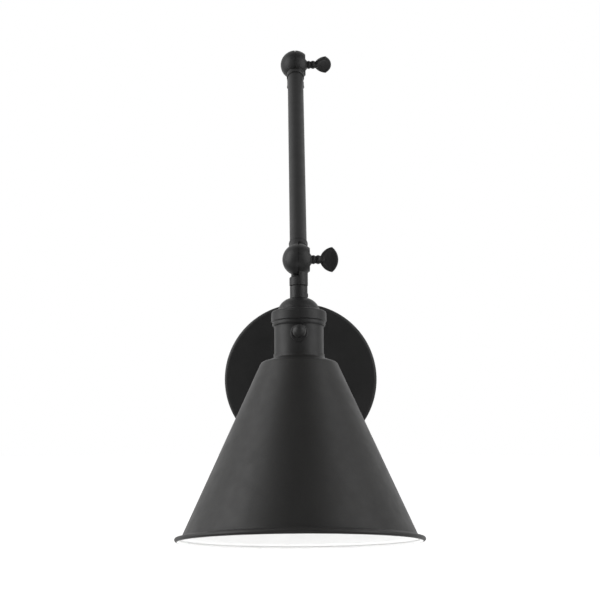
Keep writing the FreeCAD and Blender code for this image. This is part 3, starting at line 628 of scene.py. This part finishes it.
# ----------------------------------------------------------------- thumb screws


def arc_through(a, b, c, steps):
    """Points from a to c on the circle through a, b and c, without a."""
    ax, ay, bx, by, cx, cy = *a, *b, *c
    d = 2 * (ax * (by - cy) + bx * (cy - ay) + cx * (ay - by))
    ux = (a.length_squared * (by - cy) + b.length_squared * (cy - ay)
          + c.length_squared * (ay - by)) / d
    uy = (a.length_squared * (cx - bx) + b.length_squared * (ax - cx)
          + c.length_squared * (bx - ax)) / d
    centre = Vector((ux, uy))
    start = a - centre
    turn = start.angle_signed(b - centre) + (b - centre).angle_signed(c - centre)
    return [
        centre + Matrix.Rotation(-turn * n / steps, 2) @ start for n in range(1, steps + 1)
    ]


def blade_outline(root):
    """Fan seen from its face: (along the screw, across it)."""
    low = [Vector((root, -blade_root))]
    low.append(Vector((root + blade_shoulder[0], -blade_shoulder[1])))
    low.append(Vector((root + blade_corner[0], -blade_corner[1])))
    high = [Vector((p.x, -p.y)) for p in low]
    end = Vector((root + blade_length, 0))
    outline = [low[0]] + arc_through(low[0], low[1], low[2], blade_side_steps)
    outline += arc_through(low[2], end, high[2], blade_end_steps)
    outline += arc_through(high[2], high[1], high[0], blade_side_steps)
    back = Vector((root - blade_back, 0))
    outline += [high[0].lerp(back, 0.5), back, back.lerp(low[0], 0.5)]
    return outline


def blade_rings(root):
    """Dished faces with a thick round rim, as a cast thumb screw has."""
    outline = blade_outline(root)
    centre = Vector((root + blade_corner[0] * dish_centre, 0))

    def ring(inset, thickness):
        points = []
        for p in outline:
            out = p - centre
            at = centre + out * max(0.0, 1 - inset / out.length)
            points.append(Vector((at.y, thickness, at.x)))
        return points

    rings = []
    floor, slope, lip = dish_rings
    for side in (1, -1):
        face = [
            (floor + blade_edge, blade_half - blade_dish),
            (slope + blade_edge, blade_half - blade_dish / 2),
            (lip + blade_edge, blade_half),
        ]
        for n in range(blade_edge_steps + 1):
            angle = math.pi / 2 * n / blade_edge_steps
            inset = blade_edge * (1 - math.sin(angle))
            rim = blade_half - blade_edge
            face.append((inset, rim + blade_edge * math.cos(angle)))
        part = [ring(inset, side * thickness) for inset, thickness in face]
        tip = [Vector((centre.y, side * (blade_half - blade_dish), centre.x))]
        rings.append([tip] + part)
    return rings[0] + rings[1][::-1]


def blade_angle(node, place, tip):
    """Turn of a blade about its screw's axis, from the CAD node."""
    points = [p.xy for p in seen_from(node, place) if p.z > tip - blade_length]
    widest = max(points, key=lambda p: p.length)
    corners = [p for p in points if p.length > widest.length - corner_reach and p.dot(widest) > 0]
    middle = sum(corners, Vector((0, 0)))
    return math.atan2(middle.y, middle.x)


def thumb_screw(joint_name, body, node):
    place = place_at(pivot(joint_name), Vector(joints[joint_name]["axis"]), UPWARDS)
    low, high, _ = span(node, place)
    root = high - blade_length
    bead_end = root - key_neck
    bead = bead_end - key_bead
    groove = bead - key_groove
    seat = groove - key_ring + key_seat_gap
    shank = threaded_rings(key_shank, key_thread, low, seat)
    corners = [
        (key_shank, seat, 0),
        (key_ring_radius, seat, key_rounding[0]),
        (key_ring_radius, groove, key_rounding[1]),
        (key_groove_radius, groove + key_waist, key_waist),
        (key_groove_radius, bead, 0),
    ]
    path = rounded(corners, ring_bend_steps)[1:]
    for n in range(1, bead_steps):
        share = math.sin(math.pi * n / bead_steps)
        path.append(Vector((
            key_groove_radius + (key_bead_radius - key_groove_radius) * share,
            bead + key_bead * n / bead_steps,
        )))
    path.append(Vector((key_groove_radius, bead_end)))
    path.append(Vector((key_groove_radius, root + key_core[0])))
    tip = [Vector((0, 0, low))]
    rings = [tip] + shank + [circle(p.x, p.y, thread_steps) for p in path]
    rings.append([Vector((0, 0, root + key_core[1]))])
    points, faces, _ = loft(rings)
    screw = make_object(node + "_cast", points, faces, place)
    points, faces, _ = loft(blade_rings(root))
    turn = Matrix.Rotation(blade_angle(node, place, high), 4, "Z")
    blade = make_object(node + "_blade", points, faces, place @ turn)
    joined(screw, blade)
    settle(screw, body, "black_paint", node)


# ------------------------------------------------------- tubes, nipple and studs


def tube_rings(outer, inner, low, high):
    path = [
        Vector((inner, low + tube_chamfer)), Vector((inner + tube_chamfer, low)),
        Vector((outer - tube_chamfer, low)), Vector((outer, low + tube_chamfer)),
        Vector((outer, high - tube_chamfer)), Vector((outer - tube_chamfer, high)),
        Vector((inner + tube_chamfer, high)), Vector((inner, high - tube_chamfer)),
    ]
    return [circle(p.x, p.y) for p in finer(path, tube_run)]


def arm_tube(node, body, start, end):
    place = place_at(start, end - start, ALONG_WALL)
    low, high, outer = span(node, place)
    rings = tube_rings(outer, bore(node, place), low, high)
    points, faces, _ = loft(rings, loop=True)
    settle(make_object(node + "_drawn", points, faces, place), body, "black_paint", node)


def threaded_nipple():
    low, high, outer = span("hub_nipple", base_place)
    inner = bore("hub_nipple", base_place)
    rings = [circle(inner, z, thread_steps * 2) for z in levels(high, low, nipple_run)]
    rings += threaded_rings(outer, nipple_thread, low, high, thread_steps * 2)
    points, faces, _ = loft(rings, loop=True)
    nipple = make_object("hub_nipple_threaded", points, faces, base_place)
    settle(nipple, "wall_side", "brass", "hub_nipple")


def threaded_studs():
    """The two studs as one piece, each from its own half of the CAD node."""
    points, faces = [], []
    for sign in (-1, 1):
        half = [p for p in seen_from("canopy_studs", base_place) if p.y * sign > 0]
        heights = [p.z for p in half]
        wide = [p.y for p in half]
        middle = (min(wide) + max(wide)) / 2
        radius = (max(wide) - min(wide)) / 2
        rings = [[Vector((0, 0, min(heights)))]]
        rings += threaded_rings(radius, stud_thread, min(heights), max(heights))
        rings.append([Vector((0, 0, max(heights)))])
        own, skins, _ = loft(rings)
        shift = Vector((0, middle, 0))
        faces.extend([corner + len(points) for corner in face] for face in skins)
        points.extend(p + shift for p in own)
    studs = make_object("canopy_studs_threaded", points, faces, base_place)
    settle(studs, "wall_side", "zinc_steel", "canopy_studs")


# --------------------------------------------------------------- studio, camera


def softbox(name, origin, aim, size, power):
    lamp = bpy.data.lights.new(name, "AREA")
    lamp.shape = "RECTANGLE"
    lamp.size = size[0] * MM
    lamp.size_y = size[1] * MM
    lamp.energy = power
    made = bpy.data.objects.new(name, lamp)
    bpy.context.scene.collection.objects.link(made)
    made.location = Vector(origin) * MM
    made.rotation_mode = "QUATERNION"
    made.rotation_quaternion = (Vector(aim) - Vector(origin)).to_track_quat("-Z", "Y")
    made.visible_camera = False


def studio_lights():
    softbox("left_softbox", left_light, light_aim, side_light_size, left_power)
    softbox("right_softbox", right_light, light_aim, side_light_size, right_power)
    softbox("low_softbox", low_light, low_light_aim, low_light_size, low_power)


def studio_world():
    """White behind the object and to the camera, dim grey in front of it."""
    world = bpy.data.worlds.new("studio")
    bpy.context.scene.world = world
    world.use_nodes = True
    tree = world.node_tree
    tree.nodes.clear()
    direction = add(tree, "TexCoord").outputs["Generated"]
    depth = add(tree, "SeparateXYZ", {0: direction}).outputs["Y"]
    level = fit(tree, depth, front_level, back_level, *level_turn)
    lit = add(tree, "Background", {"Color": colour(1, 1, 1), "Strength": level})
    seen = add(tree, "Background", {"Color": colour(1, 1, 1), "Strength": 1.0})
    direct = add(tree, "LightPath").outputs["Is Camera Ray"]
    mixed = add(tree, "MixShader", {0: direct, 1: lit.outputs[0], 2: seen.outputs[0]})
    add(tree, "OutputWorld", {"Surface": mixed.outputs[0]})


def pale_floor():
    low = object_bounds()[0].z - floor_drop * MM
    rings = [[Vector((0, 0, 0))]]
    for n in range(1, floor_rings + 1):
        rings.append(circle(floor_radius * n / floor_rings, 0, floor_steps))
    points, faces, _ = loft(rings)
    floor = make_object("floor", points, faces, Matrix.Translation((0, 0, low)))
    material, tree = blank_material("floor")
    clouds = fit(tree, speckle(tree, 400, 2), 0, 1)
    base = blend_colours(tree, clouds, colour(0.90, 0.90, 0.90), colour(0.93, 0.93, 0.93))
    shader = add(tree, "BsdfPrincipled", {
        "Base Color": base, "Roughness": 0.9,
        "Emission Color": colour(1, 1, 1), "Emission Strength": floor_glow,
    })
    add(tree, "OutputMaterial", {"Surface": shader.outputs[0]})
    floor.data.materials.append(material)
    floor.visible_glossy = False


def main_camera():
    lens = bpy.data.cameras.new("camera")
    lens.lens = camera_lens
    lens.clip_end = camera_reach
    camera = bpy.data.objects.new("camera", lens)
    bpy.context.scene.collection.objects.link(camera)
    camera.location = Vector((camera_side, -camera_distance, camera_height)) * MM
    camera.rotation_euler = (math.pi / 2, 0, 0)
    bpy.context.scene.camera = camera


# ------------------------------------------------------------------------- scene

finish_cad_nodes()
spun_shade()
lamp_screw_shell()
thumb_screw("base_screw_turn", "base_screw", "base_thumb_screw")
thumb_screw("elbow_screw_turn", "elbow_screw", "elbow_thumb_screw")
thumb_screw("head_screw_turn", "head_screw", "head_thumb_screw")
arm_tube("lower_arm_tube", "lower_arm", pivot("base_tilt"), pivot("elbow_tilt"))
arm_tube("upper_arm_tube", "upper_arm", pivot("elbow_tilt"), pivot("head_tilt"))
threaded_nipple()
threaded_studs()

bpy.context.scene.view_settings.view_transform = "Standard"
studio_world()
studio_lights()
pale_floor()
main_camera()
